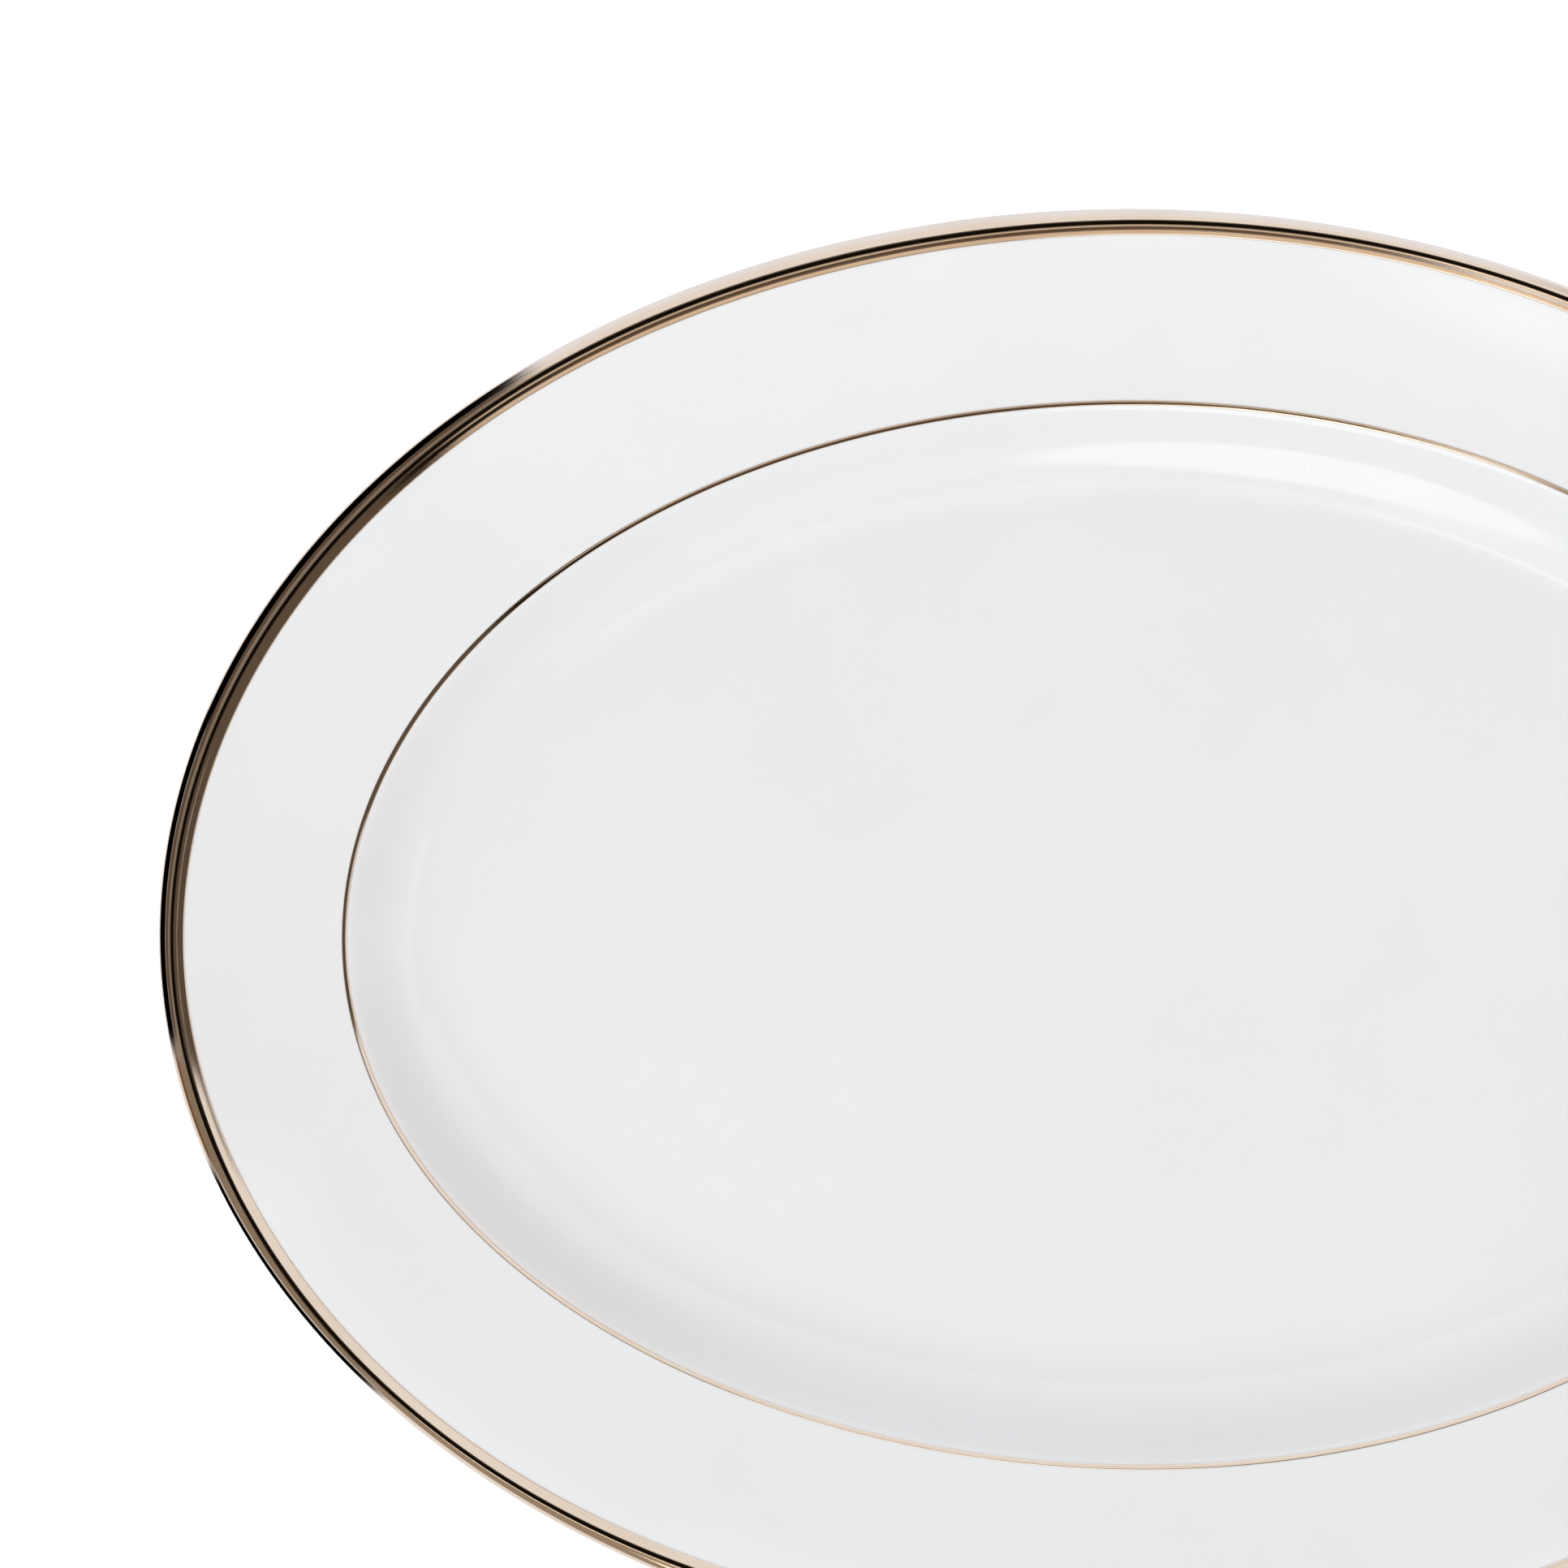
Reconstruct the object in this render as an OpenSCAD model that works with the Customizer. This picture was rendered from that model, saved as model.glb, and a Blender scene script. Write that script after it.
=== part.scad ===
// Oval rimmed serving platter in glazed bone china, with a fired metal band round its rolled rim
// and a fired metal hairline on its verge, the edge where the flange turns down into the well.
//
// The origin is the centre of the foot ring's bearing face. +X runs along the platter, +Y across
// it and +Z up. One section is drawn as a chain of arcs, and each coat is an offset of it. The
// section is carried round the platter on ellipses, so the flange is wider at the sides than at
// the ends, as it is on the real shape.

/* [Platter] */
// Overall length, over the metal band
platter_l = 406.4; // [320:0.2:460]
// Overall width, over the metal band
platter_w = 304.2; // [240:0.2:340]
// Overall height, from the foot to the crest of the rim
platter_h = 26; // [24:0.5:32]
// Thickness of the glazed china
wall_t = 4.4; // [4.2:0.1:5.2]

/* [Rim and flange] */
// Width of the flange at the two ends, from the edge to the verge
flange_end_w = 37.8; // [32:0.2:44]
// Width of the flange at the two sides
flange_side_w = 39.6; // [32:0.2:46]
// Tilt of the flange at the rolled rim, in degrees
rim_tilt = 15; // [13:0.5:18]
// Tilt of the flange at the verge, in degrees
flange_tilt = 8; // [5:0.5:11]
// Radius of the roll over the top of the rim
roll_r = 2.8; // [2.4:0.1:3]
// Tilt at which the roll ends in the shallow hollow beside the flange, in degrees
bead_tilt = 21; // [19:0.5:24]

/* [Well] */
// Radius of the verge
verge_r = 5.3; // [5:0.1:6]
// Tilt of the well's straight wall, in degrees
wall_tilt = 42; // [40:0.5:44]
// Radius of the hollow that lands the wall on the floor
cavetto_r = 24; // [22:0.5:26]

/* [Foot ring] */
// Height of the foot ring below the back of the well
foot_h = 3; // [2.5:0.1:4]
// Width of the bearing face, which is wiped free of glaze
foot_w = 2.4; // [1.8:0.1:3.5]
// Draft of the foot ring's two flanks, in degrees
foot_draft = 15; // [5:1:25]
// Tilt of the well's wall where the foot ring meets its back, in degrees
foot_tilt = 12; // [8:1:16]

/* [Coats] */
// Thickness of the glaze
glaze_t = 0.25; // [0.15:0.05:0.4]
// Thickness of the fired metal, which stands on the glaze
metal_t = 0.12; // [0.08:0.02:0.2]
// Width of the rim band on the face
band_w = 5.4; // [4.5:0.1:8]
// Half the width of the hairline
line_half_w = 0.5; // [0.3:0.1:0.6]
// Distance of the hairline's middle inside the flange
line_in = 0.9; // [0.8:0.1:1.2]

/* [Backstamp] */
// Outer radius of the backstamp
stamp_r = 15; // [10:0.5:25]
// Number of leaves round the backstamp
stamp_leaves = 12; // [8:1:16]

/* [Hidden] */

// Points on each ellipse that the section is carried along
ring_points = 64;
// Radii inside the foot ring's corners and on its bearing edges
foot_fillet_r = 1.2;
foot_edge_r = 0.7;
// Radius of the shallow hollow between the roll and the flange
bead_hollow_r = 8;
// The backstamp's ring, its leaves, which lean out of the radius, and its centre dot
stamp_ring_w = 0.8;
leaf_l = 4.2;
leaf_w = 1.6;
leaf_turn = 60;
stamp_dot_r = 1.6;

// Half sizes of the glazed platter, inside the metal band
half_l = platter_l / 2 - metal_t;
half_w = platter_w / 2 - metal_t;
crest_z = platter_h - metal_t;
floor_z = foot_h + wall_t;

// The section lies in a plane with its first axis running inwards from the edge and its second
// axis up. A tilt is the angle of the surface's outward normal, from straight up towards the
// middle of the platter, and a station is [inset, height, tilt].
function normal(tilt) = [sin(tilt), cos(tilt)];
function on_arc(centre, r, tilt) = [
    centre[0] + r * normal(tilt)[0],
    centre[1] + r * normal(tilt)[1],
    tilt
];
// The centre of the arc that leaves a station smoothly. A hollow arc has a negative radius.
function centre_after(station, r) = [
    station[0] - r * normal(station[2])[0],
    station[1] - r * normal(station[2])[1]
];
function arc(centre, r, from, to, steps) = [
    for (i = [0 : steps]) on_arc(centre, r, from + (to - from) * i / steps)
];
function rest(list) = [for (i = [1 : len(list) - 1]) list[i]];
function reversed(list) = [for (i = [len(list) - 1 : -1 : 0]) list[i]];
function last(list) = list[len(list) - 1];

// Rolled rim: a round bead that ends in a shallow hollow
roll_c = [roll_r, crest_z - roll_r];
roll_end = on_arc(roll_c, roll_r, bead_tilt);
bead_c = centre_after(roll_end, -bead_hollow_r);
flange_start = on_arc(bead_c, -bead_hollow_r, rim_tilt);

// Flange: one hollow arc from the bead to the verge
flange_r = (flange_end_w - flange_start[0]) / (sin(rim_tilt) - sin(flange_tilt));
flange_c = centre_after(flange_start, -flange_r);
verge_top = on_arc(flange_c, -flange_r, flange_tilt);
band_tilt = asin(sin(rim_tilt) - (band_w - flange_start[0]) / flange_r);

// Underside of the rim: an arc that leaves the edge upright and touches the back of the flange
back_r = flange_r + wall_t;
under_drop = flange_c[1] - roll_c[1];
under_r = (back_r ^ 2 - flange_c[0] ^ 2 - under_drop ^ 2) / (2 * (back_r - flange_c[0]));
under_c = [under_r, roll_c[1]];
under_tilt = atan2(flange_c[0] - under_r, under_drop);

// Verge: a round arc that turns down to the well's wall, with the hairline near its start
verge_c = centre_after(verge_top, verge_r);
verge_foot = on_arc(verge_c, verge_r, wall_tilt);
line_tilt_out = asin(sin(flange_tilt) + (line_in - line_half_w) / verge_r);
line_tilt_in = asin(sin(flange_tilt) + (line_in + line_half_w) / verge_r);

// Well's wall: a straight run, then a hollow arc that lands level on the floor
wall_foot_z = floor_z + cavetto_r * (1 - cos(wall_tilt));
wall_run = (verge_foot[1] - wall_foot_z) / tan(wall_tilt);
cavetto_c = [verge_foot[0] + wall_run + cavetto_r * sin(wall_tilt), floor_z + cavetto_r];

// Foot ring: its bearing face is placed so that both flanks run smoothly into their corners
foot_start = on_arc(cavetto_c, cavetto_r + wall_t, foot_tilt - 180);
outer_flank = -90 - foot_draft;
inner_flank = -270 + foot_draft;
fillet_c = centre_after(foot_start, -foot_fillet_r);
flank_top = on_arc(fillet_c, -foot_fillet_r, outer_flank);
flank_low_z = foot_edge_r * (1 - sin(foot_draft));
flank_low_inset = flank_top[0] + (flank_top[1] - flank_low_z) * tan(foot_draft);
bearing_out = flank_low_inset + foot_edge_r * cos(foot_draft);
bearing_in = bearing_out + foot_w;
corner_z = foot_h - foot_fillet_r * (1 - sin(foot_draft));
corner_inset = bearing_in
    + (foot_edge_r + foot_fillet_r) * cos(foot_draft)
    + (corner_z - flank_low_z) * tan(foot_draft);
corner_c = [corner_inset, foot_h - foot_fillet_r];

// Stretches of the section, from the well's floor outwards, round the rim and back underneath
wall_stretch = arc(cavetto_c, -cavetto_r, 0, wall_tilt, 5);
verge_stretch = arc(verge_c, verge_r, wall_tilt, line_tilt_in, 2);
line_stretch = arc(verge_c, verge_r, line_tilt_in, line_tilt_out, 2);
flange_stretch = concat(
    arc(verge_c, verge_r, line_tilt_out, flange_tilt, 1),
    rest(arc(flange_c, -flange_r, flange_tilt, band_tilt, 4))
);
band_stretch = concat(
    arc(flange_c, -flange_r, band_tilt, rim_tilt, 1),
    rest(arc(bead_c, -bead_hollow_r, rim_tilt, bead_tilt, 1)),
    rest(arc(roll_c, roll_r, bead_tilt, -90, 8)),
    rest(arc(under_c, under_r, -90, under_tilt - 180, 3))
);
back_stretch = concat(
    arc(flange_c, back_r, under_tilt - 180, flange_tilt - 180, 3),
    rest(arc(verge_c, wall_t - verge_r, flange_tilt - 180, wall_tilt - 180, 2)),
    arc(cavetto_c, cavetto_r + wall_t, wall_tilt - 180, foot_tilt - 180, 4),
    rest(arc(fillet_c, -foot_fillet_r, foot_tilt - 180, outer_flank, 2))
);
foot_stretch = concat(
    arc([bearing_out, foot_edge_r], foot_edge_r, outer_flank, -180, 2),
    arc([bearing_in, foot_edge_r], foot_edge_r, -180, inner_flank, 2)
);
panel_stretch = arc(corner_c, -foot_fillet_r, inner_flank, -180, 2);

glazed_stretch = concat(
    wall_stretch,
    verge_stretch,
    rest(line_stretch),
    rest(flange_stretch),
    rest(band_stretch),
    back_stretch
);

// A stretch moved into the wall by a depth, square to the surface
function sunk(list, depth) = [
    for (s = list) [s[0] - depth * normal(s[2])[0], s[1] - depth * normal(s[2])[1], s[2]]
];

// The flange's extra width at the sides grows evenly from the band to the verge
function side_inset(inset) = inset
    + (flange_side_w - flange_end_w)
    * min(1, max(0, (inset - band_w) / (flange_end_w - band_w)));

function ring(station) = [
    for (j = [0 : ring_points - 1])
        let (turn = 360 * j / ring_points)
        [
            (half_l - station[0]) * cos(turn),
            (half_w - side_inset(station[0])) * sin(turn),
            station[1]
        ]
];

function wall_faces(from, to) = [
    for (j = [0 : ring_points - 1])
        let (k = (j + 1) % ring_points)
        each [
            [from * ring_points + j, from * ring_points + k, to * ring_points + k],
            [from * ring_points + j, to * ring_points + k, to * ring_points + j]
        ]
];

// A solid whose section is a chain of stations that starts at a level top and ends at a level
// underside, both reaching the middle of the platter
module capped_loft(stations) {
    count = len(stations);
    top = [for (j = [ring_points - 1 : -1 : 0]) j];
    underside = [for (j = [0 : ring_points - 1]) (count - 1) * ring_points + j];
    sides = [for (i = [0 : count - 2]) each wall_faces(i, i + 1)];
    polyhedron(
        points = [for (s = stations) each ring(s)],
        faces = concat([top], sides, [underside]),
        convexity = 8
    );
}

// A solid ring whose section is a closed chain of stations
module ring_loft(stations) {
    count = len(stations);
    polyhedron(
        points = [for (s = stations) each ring(s)],
        faces = [for (i = [0 : count - 1]) each wall_faces(i, (i + 1) % count)],
        convexity = 8
    );
}

// Fired clay: floor, wall, verge, flange, rolled rim and foot ring in one piece. Only the foot
// ring's bearing face is bare.
module china_body() {
    color("ivory")
        capped_loft(concat(
            sunk(glazed_stretch, glaze_t),
            foot_stretch,
            sunk(panel_stretch, glaze_t)
        ));
}

// Clear glaze over the face, the rim and the back, thinning out on the foot ring's outer flank
module glaze_coat() {
    color("whitesmoke")
        capped_loft(concat(
            glazed_stretch,
            [foot_stretch[0]],
            reversed(sunk(glazed_stretch, glaze_t))
        ));
}

// Glaze inside the foot ring, thinning out on the ring's inner flank
module foot_glaze() {
    color("white")
        capped_loft(concat(
            reversed(sunk(panel_stretch, glaze_t)),
            [last(foot_stretch)],
            panel_stretch
        ));
}

// Metal band over the rolled rim, from the flange round to the back
module rim_band() {
    color("burlywood")
        ring_loft(concat(sunk(band_stretch, -metal_t), reversed(band_stretch)));
}

// Metal hairline on the verge
module verge_line() {
    color("tan")
        ring_loft(concat(sunk(line_stretch, -metal_t), reversed(line_stretch)));
}

// One leaf of the backstamp, with its length along X: the overlap of two round discs
module stamp_leaf() {
    leaf_r = (leaf_l * leaf_l + leaf_w * leaf_w) / (4 * leaf_w);
    intersection() {
        translate([0, leaf_r - leaf_w / 2, 0])
            cylinder(h = metal_t, r = leaf_r, $fn = 96);
        translate([0, leaf_w / 2 - leaf_r, 0])
            cylinder(h = metal_t, r = leaf_r, $fn = 96);
    }
}

// Generic mark fired on the glaze inside the foot ring: a ring, a wreath of leaves and a dot
module backstamp() {
    color("peru")
        translate([0, 0, foot_h - metal_t]) {
            difference() {
                cylinder(h = metal_t, r = stamp_r, $fn = 96);
                translate([0, 0, -1])
                    cylinder(h = metal_t + 2, r = stamp_r - stamp_ring_w, $fn = 96);
            }
            for (i = [0 : stamp_leaves - 1])
                rotate([0, 0, 360 * i / stamp_leaves])
                    translate([stamp_r - leaf_l, 0, 0])
                        rotate([0, 0, leaf_turn])
                            stamp_leaf();
            cylinder(h = metal_t, r = stamp_dot_r, $fn = 48);
        }
}

china_body();
glaze_coat();
foot_glaze();
rim_band();
verge_line();
backstamp();
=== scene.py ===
"""Looks of an oval rimmed serving platter: glazed china, a fired gold rim band and a gold hairline."""

import logging
import math
from dataclasses import dataclass, field
from enum import Enum
from typing import Sequence

import bmesh
import bpy
from mathutils import Matrix, Vector

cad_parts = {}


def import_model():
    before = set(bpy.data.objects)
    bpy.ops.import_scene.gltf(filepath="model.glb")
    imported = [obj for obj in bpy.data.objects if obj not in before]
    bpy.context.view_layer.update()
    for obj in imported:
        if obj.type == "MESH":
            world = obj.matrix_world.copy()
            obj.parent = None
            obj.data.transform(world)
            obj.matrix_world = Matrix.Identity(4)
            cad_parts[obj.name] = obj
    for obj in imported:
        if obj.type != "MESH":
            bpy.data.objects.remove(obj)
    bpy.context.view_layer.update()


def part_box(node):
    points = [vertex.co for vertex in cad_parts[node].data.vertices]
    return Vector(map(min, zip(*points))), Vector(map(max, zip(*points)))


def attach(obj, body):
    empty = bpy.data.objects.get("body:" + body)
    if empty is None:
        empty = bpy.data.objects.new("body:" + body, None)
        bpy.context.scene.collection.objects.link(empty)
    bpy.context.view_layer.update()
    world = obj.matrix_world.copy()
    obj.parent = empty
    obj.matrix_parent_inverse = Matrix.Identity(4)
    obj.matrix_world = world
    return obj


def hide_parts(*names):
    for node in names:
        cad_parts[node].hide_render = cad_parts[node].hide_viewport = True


LOG = logging.getLogger("platter")
ROOT = "root"
MM = 0.001
Colour = tuple[float, float, float]


# ---------------------------------------------------------------------------------------------
# Shader maths


class Value:
    """A shader socket that takes part in Python arithmetic."""

    def __init__(self, graph: "Graph", socket: bpy.types.NodeSocket) -> None:
        """Wraps an output socket.

        Args:
            graph: The node graph that the socket belongs to.
            socket: The output socket.
        """
        self.graph = graph
        self.socket = socket

    def _math(self, operation: str, *operands: "Value | float") -> "Value":
        """Returns a Math node's result on the operands."""
        return self.graph.math(operation, *operands)

    def __add__(self, other: "Value | float") -> "Value":
        """Returns self + other."""
        return self._math("ADD", self, other)

    def __radd__(self, other: float) -> "Value":
        """Returns other + self."""
        return self._math("ADD", other, self)

    def __sub__(self, other: "Value | float") -> "Value":
        """Returns self - other."""
        return self._math("SUBTRACT", self, other)

    def __rsub__(self, other: float) -> "Value":
        """Returns other - self."""
        return self._math("SUBTRACT", other, self)

    def __mul__(self, other: "Value | float") -> "Value":
        """Returns self * other."""
        return self._math("MULTIPLY", self, other)

    def __rmul__(self, other: float) -> "Value":
        """Returns other * self."""
        return self._math("MULTIPLY", other, self)

    def __truediv__(self, other: "Value | float") -> "Value":
        """Returns self / other."""
        return self._math("DIVIDE", self, other)

    def __pow__(self, other: "Value | float") -> "Value":
        """Returns self to the power of other."""
        return self._math("POWER", self, other)

    def rises(self, low: float, high: float) -> "Value":
        """Returns a smooth step from 0 to 1.

        Args:
            low: The value below which the step is 0.
            high: The value above which the step is 1.
        """
        node = self.graph.node(
            "ShaderNodeMapRange",
            {"interpolation_type": "SMOOTHSTEP"},
            {"Value": self, "From Min": low, "From Max": high},
        )
        return Value(self.graph, node.outputs["Result"])

    def between(self, low: float, high: float, edge: float) -> "Value":
        """Returns 1 between two values and 0 outside them, with soft edges.

        Args:
            low: The middle of the lower edge.
            high: The middle of the upper edge.
            edge: Half the width of each edge.
        """
        return self.rises(low - edge, low + edge) * (1 - self.rises(high - edge, high + edge))


class Graph:
    """A node tree with one method for every kind of node."""

    def __init__(self, tree: bpy.types.NodeTree) -> None:
        """Empties a node tree.

        Args:
            tree: The tree of a material or a world.
        """
        self.tree = tree
        tree.nodes.clear()

    def node(self, kind: str, settings: dict | None = None, sockets: dict | None = None) -> bpy.types.Node:
        """Adds a node.

        Args:
            kind: The node's type name.
            settings: Its properties, which are set first.
            sockets: Values or links of its input sockets, by name or number.

        Returns:
            The new node.
        """
        node = self.tree.nodes.new(kind)
        for name, setting in (settings or {}).items():
            setattr(node, name, setting)
        for name, given in (sockets or {}).items():
            if isinstance(given, Value):
                self.tree.links.new(given.socket, node.inputs[name])
            elif isinstance(given, bpy.types.NodeSocket):
                self.tree.links.new(given, node.inputs[name])
            else:
                node.inputs[name].default_value = given
        return node

    def math(self, operation: str, *operands: "Value | float") -> Value:
        """Returns a Math node's result on the operands."""
        node = self.node("ShaderNodeMath", {"operation": operation}, dict(enumerate(operands)))
        return Value(self, node.outputs[0])

    def mix(self, factor: "Value | float", first: "Value | Colour", second: "Value | Colour") -> Value:
        """Returns a blend of two colours, which is the second one where the factor is 1."""
        node = self.node("ShaderNodeMix", {"data_type": "RGBA"}, {0: factor})
        for slot, given in ((6, first), (7, second)):
            if isinstance(given, Value):
                self.tree.links.new(given.socket, node.inputs[slot])
            else:
                node.inputs[slot].default_value = (*given, 1.0)
        return Value(self, node.outputs[2])

    def noise(self, vector: "Value", scale: float, detail: float = 3.0, roughness: float = 0.5) -> Value:
        """Returns smooth noise between 0 and 1.

        Args:
            vector: The coordinates.
            scale: Features per unit of the coordinates.
            detail: Octaves of finer noise.
            roughness: Strength of each finer octave.
        """
        node = self.node(
            "ShaderNodeTexNoise",
            {"noise_dimensions": "3D"},
            {"Vector": vector, "Scale": scale, "Detail": detail, "Roughness": roughness},
        )
        return Value(self, node.outputs[0])

    def vector(self, x: "Value | float", y: "Value | float", z: "Value | float") -> Value:
        """Returns a vector made of three numbers."""
        node = self.node("ShaderNodeCombineXYZ", sockets={"X": x, "Y": y, "Z": z})
        return Value(self, node.outputs[0])

    def parts(self, vector: Value) -> tuple[Value, Value, Value]:
        """Returns a vector's three numbers."""
        node = self.node("ShaderNodeSeparateXYZ", sockets={0: vector})
        return tuple(Value(self, output) for output in node.outputs)

    def place(self) -> Value:
        """Returns Object coordinates, in metres."""
        return Value(self, self.node("ShaderNodeTexCoord").outputs["Object"])

    def turning(self) -> tuple[Value, Value, Value]:
        """Returns the cosine and sine of the angle round the platter, and the inset in mm."""
        node = self.node("ShaderNodeAttribute", {"attribute_name": Lathe.TURNING})
        return self.parts(Value(self, node.outputs["Vector"]))

    def bump(self, height: Value, distance: float, strength: float = 1.0) -> Value:
        """Returns a normal that follows a height.

        Args:
            height: The height, between 0 and 1.
            distance: The depth in metres that a height of 1 stands for.
            strength: How much of the bump is used.
        """
        node = self.node(
            "ShaderNodeBump", sockets={"Height": height, "Distance": distance, "Strength": strength}
        )
        return Value(self, node.outputs[0])

    def surface(self, **sockets: "Value | float | Colour") -> None:
        """Adds the principled surface and the output, with spaces in socket names given as _."""
        named = {
            name.replace("_", " "): (*given, 1.0) if isinstance(given, tuple) else given
            for name, given in sockets.items()
        }
        node = self.node("ShaderNodeBsdfPrincipled", {"subsurface_method": "RANDOM_WALK"}, named)
        self.node("ShaderNodeOutputMaterial", sockets={"Surface": node.outputs[0]})


def new_graph(name: str) -> tuple[bpy.types.Material, Graph]:
    """Returns a new material and its empty graph."""
    material = bpy.data.materials.new(name)
    material.use_nodes = True
    return material, Graph(material.node_tree)


# ---------------------------------------------------------------------------------------------
# Finishes


@dataclass(frozen=True)
class GlazedChina:
    """Clear gloss glaze over white china, with the slight unevenness of a dipped and fired coat."""

    white: Colour = (0.803, 0.806, 0.803)
    warm_white: Colour = (0.796, 0.790, 0.782)
    speck: Colour = (0.50, 0.44, 0.38)
    roughness: float = 0.085
    ripple_mm: float = 0.003

    def make(self) -> bpy.types.Material:
        """Returns the material."""
        material, graph = new_graph("glazed_china")
        place = graph.place()
        clouds = graph.noise(place, scale=14.0, detail=2.0)
        drift = graph.noise(place, scale=55.0, detail=3.0)
        tint = (0.7 * clouds + 0.3 * drift).rises(0.35, 0.70)
        body = graph.mix(tint, self.white, self.warm_white)
        grain = graph.noise(place, scale=900.0, detail=1.0)
        patch = graph.noise(place, scale=120.0, detail=0.0)
        specks = grain.rises(0.80, 0.84) * patch.rises(0.60, 0.66)
        ripple = 0.8 * graph.noise(place, scale=90.0, detail=1.0) + 0.2 * grain
        graph.surface(
            Base_Color=graph.mix(0.3 * specks, body, self.speck),
            Roughness=self.roughness + 0.03 * drift,
            IOR=1.52,
            Subsurface_Weight=0.12,
            Subsurface_Radius=Vector((1.0, 0.8, 0.6)),
            Subsurface_Scale=0.002,
            Normal=graph.bump(ripple, distance=self.ripple_mm * MM),
        )
        return material


@dataclass(frozen=True)
class BareChina:
    """Unglazed fired china on the foot ring, with a fine grain and grey rubs from shelves."""

    clay: Colour = (0.80, 0.765, 0.70)
    rubbed: Colour = (0.56, 0.53, 0.49)

    def make(self) -> bpy.types.Material:
        """Returns the material."""
        material, graph = new_graph("bare_china")
        place = graph.place()
        grain = graph.noise(place, scale=3200.0, detail=4.0, roughness=0.65)
        rubs = graph.noise(place, scale=160.0, detail=5.0, roughness=0.7).rises(0.50, 0.72)
        _, _, height = graph.parts(place)
        low = 1 - (height / MM).rises(0.02, 0.5)
        graph.surface(
            Base_Color=graph.mix(low * rubs * 0.75, self.clay, self.rubbed),
            Roughness=0.62 + 0.25 * grain,
            IOR=1.45,
            Normal=graph.bump(grain, distance=0.05 * MM),
        )
        return material


@dataclass(frozen=True)
class FiredGold:
    """Pale burnished gold, brushed on in a turning line and fired.

    The strokes run round the platter, and the film thins out at its two edges.
    """

    name: str
    inset_low: float
    inset_high: float
    thin_edge: float
    gold: Colour = (0.85, 0.66, 0.48)
    deep_gold: Colour = (0.78, 0.58, 0.40)
    thin_gold: Colour = (0.86, 0.74, 0.62)
    roughness: float = 0.035

    def make(self) -> bpy.types.Material:
        """Returns the material."""
        material, graph = new_graph(self.name)
        around_x, around_y, inset = graph.turning()
        strokes = graph.noise(graph.vector(around_x * 1.6, around_y * 1.6, inset * 4.2), 1.0, 4.0, 0.6)
        fine = graph.noise(graph.vector(around_x * 5.0, around_y * 5.0, inset * 21.0), 1.0, 3.0, 0.6)
        grain = graph.noise(graph.vector(around_x * 420.0, around_y * 420.0, inset * 1.5), 1.0, 2.0, 0.6)
        drift = graph.noise(graph.place(), scale=45.0, detail=3.0)
        wobble = 0.5 * self.thin_edge * (grain - 0.5)
        edges = (inset + wobble).between(
            self.inset_low + self.thin_edge, self.inset_high - self.thin_edge, self.thin_edge
        )
        metal = graph.mix((0.55 * strokes + 0.45 * drift).rises(0.35, 0.75), self.gold, self.deep_gold)
        ridges = 0.5 * strokes + 0.35 * fine + 0.15 * grain
        graph.surface(
            Base_Color=graph.mix(edges, self.thin_gold, metal),
            Metallic=0.80 + 0.20 * edges,
            Roughness=self.roughness + 0.05 * fine + 0.02 * drift,
            Normal=graph.bump(ridges, distance=0.006 * MM),
        )
        return material


@dataclass(frozen=True)
class TransferPrint:
    """Matt gold transfer, a little patchy where the print lies thin on the glaze."""

    ink: Colour = (0.60, 0.42, 0.20)
    worn_ink: Colour = (0.74, 0.64, 0.48)

    def make(self) -> bpy.types.Material:
        """Returns the material."""
        material, graph = new_graph("transfer_print")
        place = graph.place()
        patches = graph.noise(place, scale=700.0, detail=4.0, roughness=0.7)
        graph.surface(
            Base_Color=graph.mix(patches.rises(0.52, 0.78), self.ink, self.worn_ink),
            Metallic=0.55 + 0.25 * patches,
            Roughness=0.34 + 0.2 * patches,
            Normal=graph.bump(patches, distance=0.01 * MM),
        )
        return material


@dataclass(frozen=True)
class PaleTable:
    """Plain pale table top with a little light of its own, so that it stays white at the edges."""

    white: Colour = (0.90, 0.90, 0.90)
    glow: float = 0.50

    def make(self) -> bpy.types.Material:
        """Returns the material."""
        material, graph = new_graph("pale_table")
        mottle = graph.noise(graph.place(), scale=6.0, detail=2.0)
        graph.surface(
            Base_Color=graph.mix(0.04 * mottle, self.white, (0.84, 0.84, 0.84)),
            Roughness=0.8,
            Emission_Color=(1.0, 1.0, 1.0),
            Emission_Strength=self.glow,
        )
        return material


# ---------------------------------------------------------------------------------------------
# Section of the platter


class Stretch(Enum):
    """The stretches of the section, from the middle of the well outwards and back underneath."""

    FLOOR = "floor"
    WALL = "wall"
    VERGE = "verge"
    LINE = "line"
    LIP = "lip"
    FLANGE = "flange"
    BAND = "band"
    BACK = "back"
    FOOT = "foot"
    CORNER = "corner"
    PANEL = "panel"


GLAZED = tuple(stretch for stretch in Stretch if stretch.value not in ("foot", "corner", "panel"))


@dataclass(frozen=True)
class Move:
    """One move of the pen that draws the section: a turn about a centre, or a straight run.

    The section's plane has the inset from the edge first and the height second, in mm. A turn is
    the change of the surface's tilt, in degrees, towards the middle of the platter.
    """

    centre: Vector | None = None
    turn: float = 0.0
    run: Vector | None = None
    steps: int = 1

    def back(self) -> "Move":
        """Returns the same move made the other way."""
        return Move(self.centre, -self.turn, -self.run if self.run else None, self.steps)


def normal(tilt: float) -> Vector:
    """Returns the outward normal at a tilt in degrees, as inset and height."""
    return Vector((math.sin(math.radians(tilt)), math.cos(math.radians(tilt))))


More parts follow.
